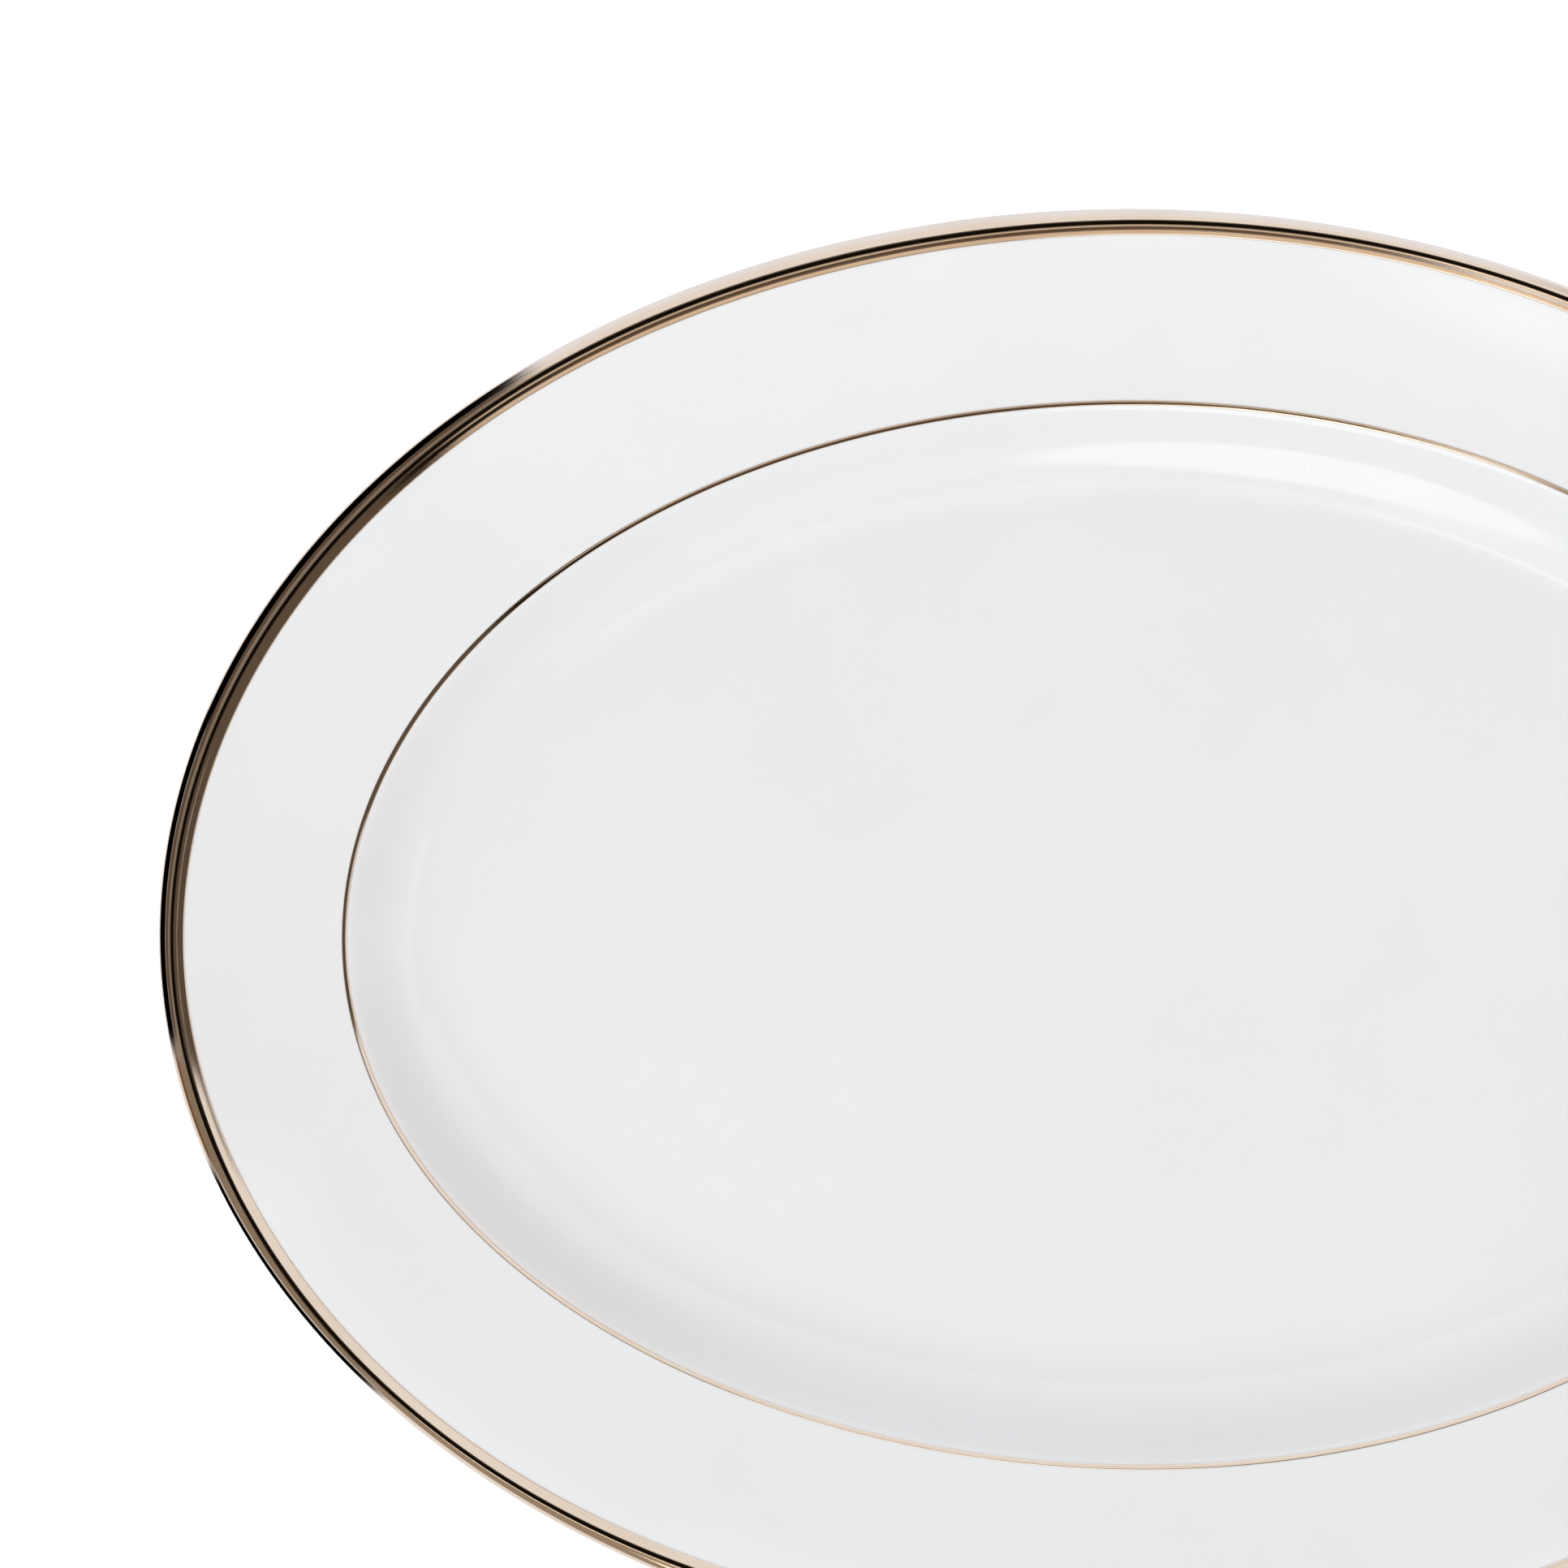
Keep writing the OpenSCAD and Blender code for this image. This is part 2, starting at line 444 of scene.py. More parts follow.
@dataclass(frozen=True)
class PlatterShape:
    """Sizes of the platter in mm and degrees, and the section that follows from them.

    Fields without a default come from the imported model.
    """

    half_l: float
    half_w: float
    crest_z: float
    flange_end_w: float
    flange_side_w: float
    foot_h: float
    wall_t: float = 4.4
    rim_tilt: float = 15.0
    flange_tilt: float = 8.0
    roll_r: float = 2.8
    bead_tilt: float = 21.0
    bead_hollow_r: float = 8.0
    verge_r: float = 5.3
    wall_tilt: float = 42.0
    cavetto_r: float = 24.0
    foot_w: float = 2.4
    foot_draft: float = 15.0
    foot_tilt: float = 12.0
    foot_fillet_r: float = 1.2
    foot_edge_r: float = 0.7
    glaze_t: float = 0.25
    metal_t: float = 0.12
    band_w: float = 5.4
    line_half_w: float = 0.5
    line_in: float = 0.9
    start: Vector = field(init=False)
    moves: dict[Stretch, list[Move]] = field(init=False)
    tilts: dict[Stretch, float] = field(init=False)
    floor_inset: float = field(init=False)

    @classmethod
    def from_frame(cls) -> "PlatterShape":
        """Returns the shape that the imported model's boxes give."""
        metal_t = cls.metal_t
        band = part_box("rim_band")[1] / MM
        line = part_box("verge_line")[1] / MM
        panel_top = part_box("foot_glaze")[1].z / MM
        half_l, half_w = band.x - metal_t, band.y - metal_t
        line_start = cls.line_in - cls.line_half_w
        return cls(
            half_l=half_l,
            half_w=half_w,
            crest_z=band.z - metal_t,
            flange_end_w=half_l - line.x - line_start,
            flange_side_w=half_w - line.y - line_start,
            foot_h=panel_top - cls.glaze_t,
        )

    def __post_init__(self) -> None:
        """Works out the arcs of the section."""
        rim_sine = math.sin(math.radians(self.rim_tilt))
        flange_sine = math.sin(math.radians(self.flange_tilt))
        draft = math.radians(self.foot_draft)
        roll_c = Vector((self.roll_r, self.crest_z - self.roll_r))
        bead_c = roll_c + (self.roll_r + self.bead_hollow_r) * normal(self.bead_tilt)
        flange_start = bead_c - self.bead_hollow_r * normal(self.rim_tilt)
        flange_r = (self.flange_end_w - flange_start.x) / (rim_sine - flange_sine)
        flange_c = flange_start + flange_r * normal(self.rim_tilt)
        back_r = flange_r + self.wall_t
        drop = flange_c.y - roll_c.y
        under_r = (back_r**2 - flange_c.x**2 - drop**2) / (2 * (back_r - flange_c.x))
        under_c = Vector((under_r, roll_c.y))
        under_tilt = math.degrees(math.atan2(flange_c.x - under_r, drop))
        verge_top = flange_c - flange_r * normal(self.flange_tilt)
        verge_c = verge_top - self.verge_r * normal(self.flange_tilt)
        verge_foot = verge_c + self.verge_r * normal(self.wall_tilt)
        floor_z = self.foot_h + self.wall_t
        wall_slope = math.tan(math.radians(self.wall_tilt))
        wall_drop = verge_foot.y - floor_z - self.cavetto_r * (1 - normal(self.wall_tilt).y)
        wall_run = Vector((-wall_drop / wall_slope, wall_drop))
        cavetto_c = verge_foot - wall_run + self.cavetto_r * normal(self.wall_tilt)
        line_out = self.verge_tilt(self.line_in - self.line_half_w)
        line_in = self.verge_tilt(self.line_in + self.line_half_w)
        band_in = math.degrees(math.asin(rim_sine - (self.band_w - flange_start.x) / flange_r))

        outer_flank, inner_flank = -90 - self.foot_draft, -270 + self.foot_draft
        foot_start = cavetto_c + (self.cavetto_r + self.wall_t) * normal(self.foot_tilt - 180)
        fillet_c = foot_start + self.foot_fillet_r * normal(self.foot_tilt - 180)
        flank_top = fillet_c - self.foot_fillet_r * normal(outer_flank)
        low_z = self.foot_edge_r * (1 - math.sin(draft))
        flank_low = Vector((flank_top.x + (flank_top.y - low_z) * math.tan(draft), low_z))
        outer_c = Vector((flank_low.x + self.foot_edge_r * math.cos(draft), self.foot_edge_r))
        inner_c = outer_c + Vector((self.foot_w, 0))
        corner_z = self.foot_h - self.foot_fillet_r * (1 - math.sin(draft))
        inner_low = inner_c + self.foot_edge_r * normal(inner_flank)
        corner = Vector((inner_low.x + (corner_z - low_z) * math.tan(draft), corner_z))
        corner_c = corner + self.foot_fillet_r * normal(inner_flank)
        floor_inset = cavetto_c.x
        to_middle = Vector((self.half_l - floor_inset, 0))

        moves = {
            Stretch.FLOOR: [Move(run=-to_middle, steps=9)],
            Stretch.WALL: [
                Move(cavetto_c, self.wall_tilt, steps=20),
                Move(run=wall_run, steps=5),
            ],
            Stretch.VERGE: [Move(verge_c, line_in - self.wall_tilt, steps=7)],
            Stretch.LINE: [Move(verge_c, line_out - line_in, steps=6)],
            Stretch.LIP: [Move(verge_c, self.flange_tilt - line_out, steps=3)],
            Stretch.FLANGE: [Move(flange_c, band_in - self.flange_tilt, steps=20)],
            Stretch.BAND: [
                Move(flange_c, self.rim_tilt - band_in, steps=3),
                Move(bead_c, self.bead_tilt - self.rim_tilt, steps=4),
                Move(roll_c, -90 - self.bead_tilt, steps=30),
                Move(under_c, under_tilt - 90, steps=7),
            ],
            Stretch.BACK: [
                Move(flange_c, self.flange_tilt - under_tilt, steps=14),
                Move(verge_c, self.wall_tilt - self.flange_tilt, steps=6),
                Move(run=-wall_run, steps=3),
                Move(cavetto_c, self.foot_tilt - self.wall_tilt, steps=10),
                Move(fillet_c, outer_flank - self.foot_tilt + 180, steps=5),
                Move(run=flank_low - flank_top, steps=2),
            ],
            Stretch.FOOT: [
                Move(outer_c, -180 - outer_flank, steps=4),
                Move(run=inner_c - outer_c, steps=2),
                Move(inner_c, inner_flank + 180, steps=4),
            ],
            Stretch.CORNER: [
                Move(run=corner - inner_low, steps=2),
                Move(corner_c, -180 - inner_flank, steps=5),
            ],
            Stretch.PANEL: [Move(run=Vector((self.half_l - corner_c.x, 0)), steps=9)],
        }
        known = {
            "start": Vector((self.half_l, floor_z)),
            "floor_inset": floor_inset,
            "moves": moves,
        }
        for name, value in known.items():
            object.__setattr__(self, name, value)

    def verge_tilt(self, run: float) -> float:
        """Returns the verge's tilt at a distance inside the flange."""
        return math.degrees(math.asin(math.sin(math.radians(self.flange_tilt)) + run / self.verge_r))

    def side_inset(self, inset: float) -> float:
        """Returns the inset at the platter's sides that goes with one at its ends."""
        share = (inset - self.band_w) / (self.flange_end_w - self.band_w)
        return inset + (self.flange_side_w - self.flange_end_w) * min(1.0, max(0.0, share))


# ---------------------------------------------------------------------------------------------
# Lathe


class Pen:
    """Draws a section as a chain of edges in the plane y = 0 of a bmesh."""

    def __init__(self, half_l: float, start: Vector) -> None:
        """Puts the pen down.

        Args:
            half_l: Half the platter's glazed length, from which insets are taken.
            start: The first point, as inset and height.
        """
        self.half_l = half_l
        self.mesh = bmesh.new()
        self.tip = self.mesh.verts.new(self.place(start))
        self.first = self.tip

    def place(self, point: Vector) -> Vector:
        """Returns the place in space of an inset and a height."""
        return Vector((self.half_l - point.x, 0, point.y))

    def draw(self, move: Move) -> None:
        """Makes one move from the chain's last vertex."""
        if move.run is not None:
            step = Vector((-move.run.x, 0, move.run.y)) / move.steps
            for _ in range(move.steps):
                made = bmesh.ops.extrude_vert_indiv(self.mesh, verts=[self.tip])
                self.tip = made["verts"][0]
                bmesh.ops.translate(self.mesh, verts=[self.tip], vec=step)
            return
        made = bmesh.ops.spin(
            self.mesh,
            geom=[self.tip],
            cent=self.place(move.centre),
            axis=(0, -1, 0),
            dvec=(0, 0, 0),
            angle=math.radians(move.turn),
            space=Matrix(),
            steps=move.steps,
            use_merge=False,
            use_normal_flip=False,
            use_duplicate=False,
        )
        self.tip = made["geom_last"][0]

    def close(self) -> None:
        """Joins the chain's last vertex to its first."""
        self.mesh.edges.new((self.tip, self.first))


@dataclass(frozen=True)
class Wander:
    """How the hand-finished section strays sideways round the platter, in mm.

    Each wave is its count round the platter, its size and its phase. The straying is strongest at
    one inset and fades to nothing at its reach on either side.
    """

    inset: float
    reach_out: float
    reach_in: float
    waves: tuple[tuple[int, float, float], ...]

    def at(self, angle: float, inset: float) -> float:
        """Returns how far a point strays inwards."""
        off = (inset - self.inset) / (self.reach_out if inset < self.inset else self.reach_in)
        near = max(0.0, 1 - off * off) ** 2
        return near * sum(size * math.sin(count * angle + phase) for count, size, phase in self.waves)


@dataclass(frozen=True)
class Lathe:
    """Turns sections about the upright axis, then draws each ring out to its own ellipse."""

    TURNING = "turning"
    shape: PlatterShape
    lift: float = 0.08
    weld: float = 0.0005
    wanders: tuple[Wander, ...] = (
        Wander(
            3.2,
            3.25,
            12.0,
            (
                (1, 0.13, -1.42),
                (2, 0.30, -2.70),
                (3, 0.19, 0.86),
                (4, 0.11, 2.13),
                (5, 0.10, -1.53),
                (6, 0.15, 0.05),
                (7, 0.20, 1.31),
            ),
        ),
        Wander(38.7, 16.0, 16.0, ((2, 0.17, 1.23), (3, 0.42, 1.32), (4, 0.19, 2.96), (5, 0.05, -0.06))),
    )

    def turn(self, pen: Pen, name: str, steps: int) -> bpy.types.Object:
        """Spins a drawn section into a closed mesh object.

        Args:
            pen: The pen that has drawn the section.
            name: The new object's name.
            steps: Divisions round the platter.

        Returns:
            The finished object, with its place in its mesh.
        """
        mesh = pen.mesh
        bmesh.ops.spin(
            mesh,
            geom=mesh.verts[:] + mesh.edges[:],
            cent=(0, 0, 0),
            axis=(0, 0, 1),
            dvec=(0, 0, 0),
            angle=math.tau,
            space=Matrix(),
            steps=steps,
            use_merge=True,
            use_normal_flip=False,
            use_duplicate=False,
        )
        bmesh.ops.remove_doubles(mesh, verts=mesh.verts, dist=self.weld)
        bmesh.ops.recalc_face_normals(mesh, faces=mesh.faces)
        turning = mesh.verts.layers.float_vector.new(self.TURNING)
        for vertex in mesh.verts:
            angle = math.atan2(vertex.co.y, vertex.co.x)
            inset = self.shape.half_l - math.hypot(vertex.co.x, vertex.co.y)
            vertex[turning] = (math.cos(angle), math.sin(angle), inset)
            vertex.co = self.oval(angle, inset, vertex.co.z)
        return finished(mesh, name)

    def oval(self, angle: float, inset: float, height: float) -> Vector:
        """Returns the place on the platter of a point of the turned shape, in mm."""
        shape = self.shape
        inset += sum(wander.at(angle, inset) for wander in self.wanders)
        level = min(inset, shape.floor_inset)
        share = (shape.half_l - inset) / (shape.half_l - level)
        across = (shape.half_w - shape.side_inset(level)) * share
        along = shape.half_l - inset
        return Vector(
            (along * math.cos(angle), across * math.sin(angle), height + self.lifted(angle, inset))
        )

    def lifted(self, angle: float, inset: float) -> float:
        """Returns how far the firing has let a point of the flange rise, in mm."""
        flange = max(0.0, 1 - inset / self.shape.flange_end_w)
        return self.lift * (math.sin(2 * angle + 0.6) + 0.6 * math.sin(3 * angle - 0.9)) * flange**2


def finished(mesh: bmesh.types.BMesh, name: str) -> bpy.types.Object:
    """Returns a smooth object made from a mesh in mm, which it frees.

    Args:
        mesh: The mesh, in mm.
        name: The object's name.
    """
    bmesh.ops.scale(mesh, vec=(MM, MM, MM), verts=mesh.verts)
    for face in mesh.faces:
        face.smooth = True
    data = bpy.data.meshes.new(name)
    mesh.to_mesh(data)
    mesh.free()
    piece = bpy.data.objects.new(name, data)
    bpy.context.scene.collection.objects.link(piece)
    return piece


# ---------------------------------------------------------------------------------------------
# Sub-assemblies


def fit(piece: bpy.types.Object, node: str, material: bpy.types.Material) -> bpy.types.Object:
    """Gives a piece its material and its body, and hides and logs the imported node that it stands for."""
    piece.data.materials.append(material)
    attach(piece, ROOT)
    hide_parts(node)
    LOG.info("%s stands for %s: %d faces", piece.name, node, len(piece.data.polygons))
    return piece


@dataclass(frozen=True)
class China:
    """The fired body and its two coats of glaze."""

    shape: PlatterShape
    lathe: Lathe
    steps: int = 288

    def build(self) -> list[bpy.types.Object]:
        """Returns the body, the main coat and the coat inside the foot ring."""
        glaze = GlazedChina().make()
        return [
            fit(self.body(), "china_body", BareChina().make()),
            fit(self.main_coat(), "glaze_coat", glaze),
            fit(self.foot_coat(), "foot_glaze", glaze),
        ]

    def body(self) -> bpy.types.Object:
        """Returns the fired clay, which the glaze leaves bare only under the foot ring."""
        shape = self.shape
        pen = Pen(shape.half_l, shape.start - Vector((0, shape.glaze_t)))
        for stretch in GLAZED:
            for move in shape.moves[stretch]:
                pen.draw(move)
        outer = normal(-90 - shape.foot_draft) * shape.glaze_t
        inner = normal(-270 + shape.foot_draft) * shape.glaze_t
        pen.draw(Move(run=outer))
        for move in shape.moves[Stretch.FOOT]:
            pen.draw(move)
        pen.draw(Move(run=-inner))
        for stretch in (Stretch.CORNER, Stretch.PANEL):
            for move in shape.moves[stretch]:
                pen.draw(move)
        return self.lathe.turn(pen, "china_body_fired", self.steps)

    def main_coat(self) -> bpy.types.Object:
        """Returns the glaze over the face, the rim and the back, down to the foot ring."""
        shape = self.shape
        pen = Pen(shape.half_l, shape.start)
        moves = [move for stretch in GLAZED for move in shape.moves[stretch]]
        for move in moves:
            pen.draw(move)
        self.draw_back(pen, moves, -90 - shape.foot_draft)
        return self.lathe.turn(pen, "glaze_face_and_back", self.steps)

    def foot_coat(self) -> bpy.types.Object:
        """Returns the glaze on the panel inside the foot ring."""
        shape = self.shape
        moves = [move for stretch in (Stretch.CORNER, Stretch.PANEL) for move in shape.moves[stretch]]
        backwards = [move.back() for move in reversed(moves)]
        pen = Pen(shape.half_l, Vector((shape.half_l, shape.foot_h)))
        for move in backwards:
            pen.draw(move)
        self.draw_back(pen, backwards, -270 + shape.foot_draft)
        return self.lathe.turn(pen, "glaze_inside_foot", self.steps)

    def draw_back(self, pen: Pen, moves: Sequence[Move], tilt: float) -> None:
        """Takes the pen into the wall by the glaze's thickness and back along its moves."""
        pen.draw(Move(run=-normal(tilt) * self.shape.glaze_t))
        for move in reversed(moves):
            pen.draw(move.back())


@dataclass(frozen=True)
class Gilding:
    """The fired metal: the band over the rim and the hairline on the verge."""

    shape: PlatterShape
    lathe: Lathe
    steps: int = 400

    def build(self) -> list[bpy.types.Object]:
        """Returns the rim band and the verge line."""
        shape = self.shape
        line_middle = shape.flange_end_w + shape.line_in
        band = FiredGold("rim_gold", -9.0, shape.band_w, thin_edge=0.16)
        line = FiredGold(
            "line_gold",
            line_middle - shape.line_half_w,
            line_middle + shape.line_half_w,
            thin_edge=0.09,
        )
        return [
            fit(self.film(Stretch.BAND, "gold_rim_band"), "rim_band", band.make()),
            fit(self.film(Stretch.LINE, "gold_verge_line"), "verge_line", line.make()),
        ]

    def film(self, stretch: Stretch, name: str) -> bpy.types.Object:
        """Returns a film of metal on one stretch of the section, which stands on the glaze.

        Args:
            stretch: The stretch that the film covers.
            name: The piece's name.
        """
        shape = self.shape
        start, first_tilt, last_tilt = self.ends(stretch)
        pen = Pen(shape.half_l, start)
        lift = shape.metal_t
        pen.draw(Move(run=normal(first_tilt) * lift))
        moves = shape.moves[stretch]
        for move in moves:
            pen.draw(move)
        pen.draw(Move(run=-normal(last_tilt) * lift))
        for move in list(reversed(moves))[:-1]:
            pen.draw(move.back())
        final = moves[0].back()
        pen.draw(Move(final.centre, final.turn * (final.steps - 1) / final.steps, None, final.steps - 1))
        pen.close()
        return self.lathe.turn(pen, name, self.steps)

    def ends(self, stretch: Stretch) -> tuple[Vector, float, float]:
        """Returns a stretch's first point, and the tilts at its start and its end."""
        point, tilt = self.shape.start.copy(), 0.0
        for known in Stretch:
            begin, begin_tilt = point.copy(), tilt
            for move in self.shape.moves[known]:
                if move.run is not None:
                    point = point + move.run
                else:
                    arm = point - move.centre
                    angle = math.radians(move.turn)
                    cosine, sine = math.cos(angle), math.sin(angle)
                    point = move.centre + Vector(
                        (arm.x * cosine + arm.y * sine, arm.y * cosine - arm.x * sine)
                    )
                    tilt += move.turn
            if known is stretch:
                return begin, begin_tilt, tilt
        raise ValueError(f"the section has no stretch {stretch}")


@dataclass(frozen=True)
class Backstamp:
    """The generic mark inside the foot ring: a ring, a wreath of leaves and a dot."""

    shape: PlatterShape
    ring_w: float = 0.8
    leaves: int = 12
    leaf_l: float = 4.2
    leaf_w: float = 1.6
    leaf_turn: float = 60.0
    dot_r: float = 1.6
    ring_segments: int = 96
    dot_segments: int = 32
    leaf_segments: int = 24
    print_t: float = 0.06

    def build(self) -> list[bpy.types.Object]:
        """Returns the printed mark as one piece."""
        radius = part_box("backstamp")[1].x / MM
        mesh = bmesh.new()
        self.ring(mesh, radius)
        for number in range(self.leaves):
            turn = math.tau * number / self.leaves
            self.leaf(mesh, radius - self.leaf_l, turn)
        self.disc(mesh, self.dot_r, self.dot_segments)
        self.thicken(mesh)
        piece = finished(mesh, "backstamp_print")
        return [fit(piece, "backstamp", TransferPrint().make())]

    def disc(self, mesh: bmesh.types.BMesh, radius: float, segments: int) -> list:
        """Adds a flat disc and returns its vertices."""
        made = bmesh.ops.create_circle(mesh, cap_ends=True, radius=radius, segments=segments)
        return made["verts"]

    def ring(self, mesh: bmesh.types.BMesh, radius: float) -> None:
        """Adds the flat outer ring."""
        loops = [
            bmesh.ops.create_circle(mesh, cap_ends=False, radius=size, segments=self.ring_segments)["verts"]
            for size in (radius, radius - self.ring_w)
        ]
        edges = {edge for loop in loops for vertex in loop for edge in vertex.link_edges}
        bmesh.ops.bridge_loops(mesh, edges=list(edges))

    def leaf(self, mesh: bmesh.types.BMesh, radius: float, turn: float) -> None:
        """Adds one flat leaf, pointed at both ends and leaning out of the radius."""
        verts = self.disc(mesh, self.leaf_l / 2, self.leaf_segments)
        for vertex in verts:
            along = vertex.co.x / (self.leaf_l / 2)
            vertex.co.y = math.copysign(self.leaf_w / 2 * (1 - along * along), vertex.co.y)
        lean = Matrix.Rotation(math.radians(self.leaf_turn), 4, "Z")
        out = Matrix.Translation((radius, 0, 0))
        bmesh.ops.transform(mesh, matrix=Matrix.Rotation(turn, 4, "Z") @ out @ lean, verts=verts)

    def thicken(self, mesh: bmesh.types.BMesh) -> None:
        """Gives the flat mark its thickness and moves it under the panel."""
        bmesh.ops.remove_doubles(mesh, verts=mesh.verts, dist=0.001)
        made = bmesh.ops.extrude_face_region(mesh, geom=mesh.faces[:])
        lower = [part for part in made["geom"] if isinstance(part, bmesh.types.BMVert)]
        bmesh.ops.translate(mesh, verts=lower, vec=(0, 0, -self.print_t))
        bmesh.ops.recalc_face_normals(mesh, faces=mesh.faces)
        bmesh.ops.translate(mesh, verts=mesh.verts, vec=(0, 0, self.shape.foot_h))


# ---------------------------------------------------------------------------------------------
# Studio


@dataclass(frozen=True)
class Card:
    """A card, a softbox or a dark gap of the studio, as the glaze and the gold mirror it.

    Angles are in degrees: azimuths run from +X towards +Y, zeniths down from straight up. The
    cards are painted on the sky for mirrored rays only, and diffuse light does not see them.
    """

    azimuth: float
    half_width: float
    zenith_low: float
    zenith_high: float
    colour: Colour
    edge: float = 1.5
    side_edge: float = 1.5
    is_round: bool = False

    def covers(self, graph: Graph, azimuth: Value, zenith: Value) -> Value:
        """Returns 1 where the card is seen.

        Args:
            graph: The world's node graph.
            azimuth: The direction's azimuth.
            zenith: The direction's angle from straight up.
        """
        beside = graph.math("ABSOLUTE", graph.math("WRAP", azimuth - self.azimuth, 180.0, -180.0))
        if self.is_round:
            across = beside / self.half_width
            middle = (self.zenith_low + self.zenith_high) / 2
            down = (zenith - middle) / (self.zenith_high - middle)
            return 1 - ((across * across + down * down) ** 0.5).rises(0.88, 1.06)
        inside = 1 - beside.rises(self.half_width - self.side_edge, self.half_width + self.side_edge)
        return inside * zenith.between(self.zenith_low, self.zenith_high, self.edge)


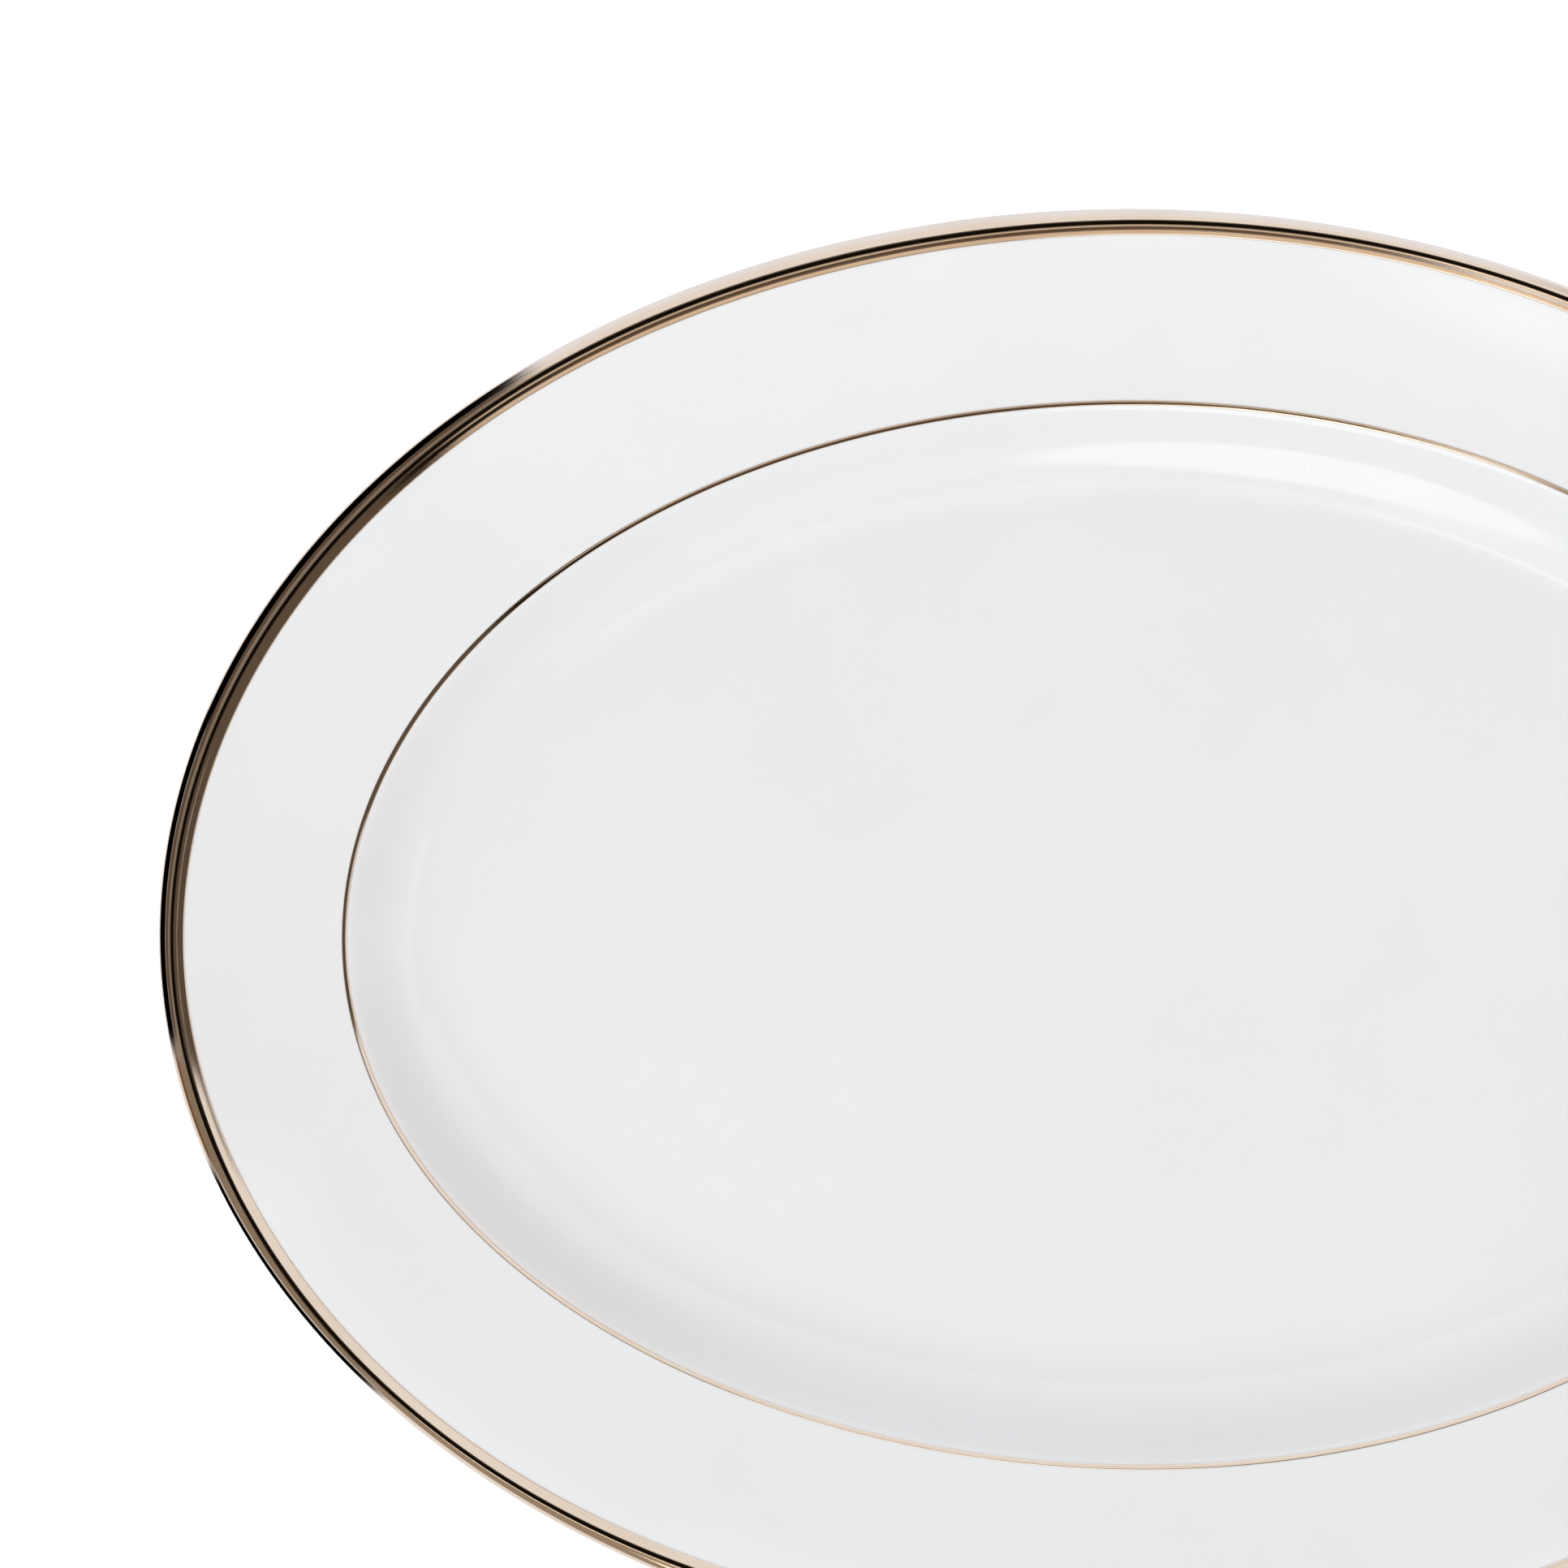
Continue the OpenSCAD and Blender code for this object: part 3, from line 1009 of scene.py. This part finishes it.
@dataclass(frozen=True)
class Studio:
    """Table, soft light, mirrored cards and camera."""

    table_size: float = 6.0
    distance: float = 2.2
    lens: float = 241.1
    aim: tuple[float, float, float] = (-0.0724, 0.0317, 0.020)
    room: Colour = (0.93, 1.02, 1.18)
    fill_high: Colour = (1.151, 1.135, 1.124)
    fill_low: Colour = (0.451, 0.445, 0.441)
    key_colour: Colour = (0.92, 1.0, 1.07)
    key_azimuth: float = 245.0
    key_zenith: float = 59.0
    key_distance: float = 3.0
    key_power: float = 24.3
    key_size: tuple[float, float] = (1.8, 1.2)
    # A later card covers an earlier one.
    cards: tuple[Card, ...] = (
        Card(300, 55, 46, 100, (0.36, 0.34, 0.32), 4.0, 9.0),
        Card(92, 30, 60, 180, (0.95, 1.12, 1.45), 4.0, 3.0),
        Card(278, 32, 10, 24.6, (0.42, 0.39, 0.36), 1.5, 6.0),
        Card(341, 33, 10, 38, (0.11, 0.09, 0.075), 1.5, 2.0),
        Card(292, 22, 30.5, 46, (0.02, 0.017, 0.014)),
        Card(326, 14, 21.5, 46, (0.12, 0.10, 0.085)),
        Card(70, 56, 10, 22, (0.10, 0.09, 0.08), 2.0, 8.0),
        Card(35, 30, 52, 104, (0.55, 0.40, 0.32), 8.0, 7.0),
        Card(277, 31, 24.6, 30, (0.80, 0.71, 0.62), 0.8, 2.0),
        Card(280, 20, 30.5, 39, (0.12, 0.09, 0.07)),
        Card(308.5, 1.8, 14, 46, (0.0, 0.0, 0.0), 1.0, 0.6),
        Card(18, 5, 14, 27, (0.0, 0.0, 0.0), 2.0, 2.0),
        Card(25, 8, 12, 21, (0.01, 0.008, 0.006), 2.0, 2.0),
        Card(157, 36, 14, 30, (0.24, 0.215, 0.19), 3.0),
        Card(157, 36, 30, 60, (0.12, 0.10, 0.085), 3.0),
        Card(140, 19, 54, 116, (0.0, 0.0, 0.0), 3.0),
        Card(175, 18, 62, 126, (0.0, 0.0, 0.0), 3.0),
        Card(210.5, 17.5, 14, 84, (0.28, 0.25, 0.22), 4.0),
        Card(199, 6, 76, 104, (0.20, 0.12, 0.08), 5.0),
        Card(216.5, 11.5, 94, 156, (0.0, 0.0, 0.0), 3.0),
        Card(240, 13, 14, 96, (0.36, 0.33, 0.29), 8.0),
        Card(234, 20, 12, 24, (0.06, 0.045, 0.03), 3.0, 4.0),
        Card(263, 14.5, 38.5, 73, (2.3, 2.35, 2.35), is_round=True),
        Card(248, 16, 21.3, 24.8, (2.3, 2.35, 2.4), 0.4, 2.0),
        Card(0, 181, -10, 14.5, (0.006, 0.005, 0.004), 2.0),
    )

    def build(self) -> None:
        """Sets up the whole studio."""
        self.table()
        self.sky()
        self.key_light()
        self.camera()
        bpy.context.scene.view_settings.view_transform = "Standard"

    def table(self) -> None:
        """Makes the pale table top, which only the sky's lower half stands for in reflections."""
        mesh = bmesh.new()
        bmesh.ops.create_grid(mesh, x_segments=1, y_segments=1, size=self.table_size / 2 / MM)
        table = finished(mesh, "pale_table_top")
        table.data.materials.append(PaleTable().make())
        table.visible_glossy = False

    def sky(self) -> None:
        """Makes the world: a soft dome for diffuse light, and cards that only mirrors see."""
        world = bpy.data.worlds.new("studio")
        bpy.context.scene.world = world
        world.use_nodes = True
        world.cycles.sampling_method = "NONE"
        graph = Graph(world.node_tree)
        x, y, z = graph.parts(Value(graph, graph.node("ShaderNodeTexCoord").outputs["Generated"]))
        azimuth = graph.math("DEGREES", graph.math("ARCTAN2", y, x))
        zenith = graph.math("DEGREES", graph.math("ARCCOSINE", z))
        mirrored: Value | Colour = self.room
        for card in self.cards:
            mirrored = graph.mix(card.covers(graph, azimuth, zenith), mirrored, card.colour)
        path = graph.node("ShaderNodeLightPath")
        glossy = Value(graph, path.outputs["Is Glossy Ray"])
        seen = Value(graph, path.outputs["Is Camera Ray"])
        fill = graph.mix(0.5 + 0.5 * z, self.fill_low, self.fill_high)
        colour = graph.mix(seen, graph.mix(glossy, fill, mirrored), (1.0, 1.0, 1.0))
        background = graph.node("ShaderNodeBackground", sockets={"Color": colour})
        graph.node("ShaderNodeOutputWorld", sockets={"Surface": background.outputs[0]})

    def key_light(self) -> None:
        """Hangs the softbox's share of the diffuse light, which the sky mirrors as a round card."""
        data = bpy.data.lights.new("softbox", "AREA")
        data.shape = "ELLIPSE"
        data.size, data.size_y = self.key_size
        data.energy = self.key_power
        data.color = self.key_colour
        azimuth, zenith = math.radians(self.key_azimuth), math.radians(self.key_zenith)
        flat = Vector((math.cos(azimuth), math.sin(azimuth), 0)) * math.sin(zenith)
        towards = flat + Vector((0, 0, math.cos(zenith)))
        light = bpy.data.objects.new("softbox", data)
        light.location = towards * self.key_distance
        light.rotation_mode = "QUATERNION"
        light.rotation_quaternion = (-towards).to_track_quat("-Z", "Y")
        light.visible_camera = False
        light.visible_glossy = False
        bpy.context.scene.collection.objects.link(light)

    def camera(self) -> None:
        """Hangs the camera straight above the platter with a long lens, its top towards +Y."""
        data = bpy.data.cameras.new("camera")
        data.lens = self.lens
        data.sensor_width = 36.0
        camera = bpy.data.objects.new("camera", data)
        camera.location = Vector(self.aim) + Vector((0, 0, self.distance))
        data.clip_start, data.clip_end = 0.05, 50.0
        bpy.context.scene.collection.objects.link(camera)
        bpy.context.scene.camera = camera


def main() -> None:
    """Builds the platter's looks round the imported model."""
    logging.basicConfig(level=logging.INFO, format="%(name)s: %(message)s")
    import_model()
    shape = PlatterShape.from_frame()
    lathe = Lathe(shape)
    for assembly in (China(shape, lathe), Gilding(shape, lathe), Backstamp(shape)):
        assembly.build()
    Studio().build()


if __name__ == "__main__":
    main()
